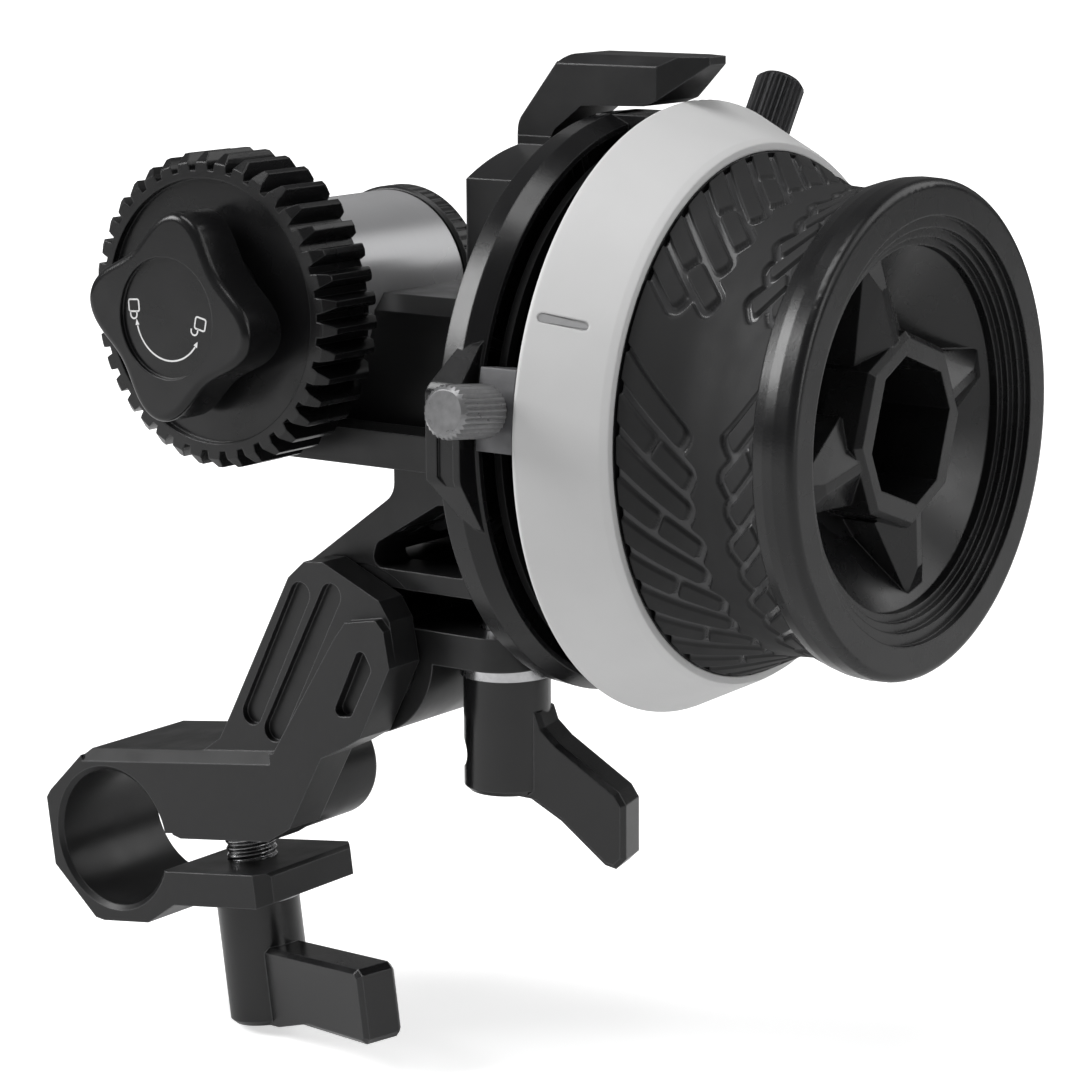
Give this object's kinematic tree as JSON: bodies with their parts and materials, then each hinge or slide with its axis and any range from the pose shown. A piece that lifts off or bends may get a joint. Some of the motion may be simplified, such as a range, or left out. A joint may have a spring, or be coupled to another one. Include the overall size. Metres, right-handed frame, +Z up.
{
  "type": "follow focus unit",
  "caption": "Lens follow focus: rod clamp with tilting arm, gear case, toothed drive gear with lock knob, and a grip handwheel with a marking disc, pointer and two travel stops",
  "frame": {"origin": "on the axis of the 15 mm rod bore, at mid-depth of the rod clamp", "axes": "X along the handwheel axis toward the grip, Y along the rod, Z up"},
  "size_m": [0.0974, 0.0684, 0.1046],
  "materials": {
    "black_anodised": "satin black anodised aluminium",
    "black_plastic": "matte moulded plastic",
    "black_rubber": "moulded tread rubber",
    "brass": "machined brass gear",
    "dark_steel": "black oxide steel",
    "grey_metal": "bright grey anodised barrel",
    "spring": "spring wire",
    "steel": "bare steel",
    "white_plastic": "matte white"
  },
  "bodies": {
    "arm": {"rod_arm": "black_anodised", "pivot_shaft": "steel", "pivot_shaft_screw": "dark_steel", "rod_clamp_washer": "steel"},
    "rod_stud": {"rod_clamp_stud": "steel", "rod_clamp_screw": "dark_steel", "rod_clamp_spring": "spring"},
    "rod_lever": {"rod_clamp_lever": "black_anodised"},
    "head": {"pivot_bracket": "black_anodised", "pivot_friction_washer": "black_plastic", "bracket_screws": "dark_steel", "gear_case": "black_anodised", "gear_case_cover": "black_anodised", "cover_screws": "dark_steel", "pointer_bracket": "black_anodised", "pointer_screws": "dark_steel", "back_plate": "black_plastic", "back_plate_screws": "dark_steel", "barrel_tube": "grey_metal", "barrel_sleeve": "black_anodised", "barrel_screw": "dark_steel", "barrel_bearings": "steel", "layshaft_bearing": "steel", "wheel_bearings": "steel", "pivot_clamp_washer": "steel"},
    "pivot_stud": {"pivot_clamp_stud": "steel", "pivot_clamp_screw": "dark_steel", "pivot_clamp_spring": "spring"},
    "pivot_lever": {"pivot_clamp_lever": "black_anodised"},
    "ring": {"barrel_ring": "black_anodised"},
    "output": {"output_shaft": "steel", "output_circlip": "steel", "output_spur": "brass", "drive_gear": "black_plastic"},
    "lock_knob": {"gear_lock_knob": "black_plastic"},
    "lay": {"layshaft": "steel", "layshaft_spur": "brass", "layshaft_bevel": "brass"},
    "wheel": {"wheel_shaft": "steel", "wheel_bevel": "brass", "stop_ring": "black_anodised", "stop_ring_screws": "dark_steel", "disc_seat_ring": "black_rubber", "handwheel": "black_plastic", "handwheel_grip": "black_rubber", "handwheel_screw": "dark_steel"},
    "stop_a": {"stop_block_a": "black_anodised", "stop_bolt_a": "steel"},
    "thumb_a": {"stop_thumb_nut_a": "steel"},
    "stop_b": {"stop_block_b": "black_anodised", "stop_bolt_b": "steel"},
    "thumb_b": {"stop_thumb_nut_b": "dark_steel"},
    "disc": {"marking_disc": "white_plastic"}
  },
  "joints": [
    {"name": "rod_lever_turn", "type": "hinge", "parent": "arm", "child": "rod_stud", "pos_m": [0.01373, 0, -0.00614], "axis": [-0.1323, 0, 0.9912], "range_deg": [-30, 180]},
    {"name": "rod_lever_pull", "type": "slide", "parent": "rod_stud", "child": "rod_lever", "axis": [0.1323, 0, -0.9912], "range_m": [0, 0.0034], "stiffness_N_per_m": 400, "springref_m": -0.0005, "deforming": ["rod_clamp_spring"]},
    {"name": "head_tilt", "type": "hinge", "parent": "arm", "child": "head", "pos_m": [0.0309, 0, 0.0241], "axis": [0, 1, 0], "range_deg": [-45, 40]},
    {"name": "pivot_lever_turn", "type": "hinge", "parent": "head", "child": "pivot_stud", "pos_m": [0.0448, 0.0037, 0.0222], "axis": [0, 0, 1], "range_deg": [-30, 30]},
    {"name": "pivot_lever_pull", "type": "slide", "parent": "pivot_stud", "child": "pivot_lever", "axis": [0, 0, -1], "range_m": [0, 0.0034], "stiffness_N_per_m": 400, "springref_m": -0.0005, "deforming": ["pivot_clamp_spring"]},
    {"name": "ring_turn", "type": "hinge", "parent": "head", "child": "ring", "pos_m": [0.0202, 0.0183, 0.0594], "axis": [0, 1, 0], "range_deg": [-120, 120]},
    {"name": "wheel_turn", "type": "hinge", "parent": "head", "child": "wheel", "pos_m": [0.06, 0.0136, 0.0497], "axis": [1, 0, 0], "range_deg": [-66, 17]},
    {"name": "layshaft_turn", "type": "hinge", "parent": "head", "child": "lay", "pos_m": [0.02824, 0.0136, 0.0497], "axis": [0, 1, 0], "range_deg": [-66.5, 17.5]},
    {"name": "output_turn", "type": "hinge", "parent": "head", "child": "output", "pos_m": [0.0202, 0, 0.0594], "axis": [0, 1, 0], "range_deg": [-11, 41]},
    {"name": "lock_knob_turn", "type": "hinge", "parent": "output", "child": "lock_knob", "pos_m": [0.0202, -0.017, 0.0594], "axis": [0, 1, 0], "range_deg": [0, 90]},
    {"name": "stop_a_slide", "type": "hinge", "parent": "wheel", "child": "stop_a", "pos_m": [0.0581, 0.0136, 0.0497], "axis": [1, 0, 0], "range_deg": [0, 100]},
    {"name": "thumb_a_turn", "type": "hinge", "parent": "stop_a", "child": "thumb_a", "pos_m": [0.0581, 0.0136, 0.0497], "axis": [0, -0.9936, 0.1132], "range_deg": [-90, 90]},
    {"name": "stop_b_slide", "type": "hinge", "parent": "wheel", "child": "stop_b", "pos_m": [0.0581, 0.0136, 0.0497], "axis": [1, 0, 0], "range_deg": [-100, 0]},
    {"name": "thumb_b_turn", "type": "hinge", "parent": "stop_b", "child": "thumb_b", "pos_m": [0.0581, 0.0136, 0.0497], "axis": [0, 0.5519, 0.8339], "range_deg": [-90, 90]},
    {"name": "disc_pull_off", "type": "slide", "parent": "wheel", "child": "disc", "axis": [1, 0, 0], "range_m": [0, 0.032]}
  ],
  "couplings": [
    {"joint": "layshaft_turn", "follows": "wheel_turn", "ratio": 1},
    {"joint": "output_turn", "follows": "wheel_turn", "ratio": -0.61538}
  ]
}
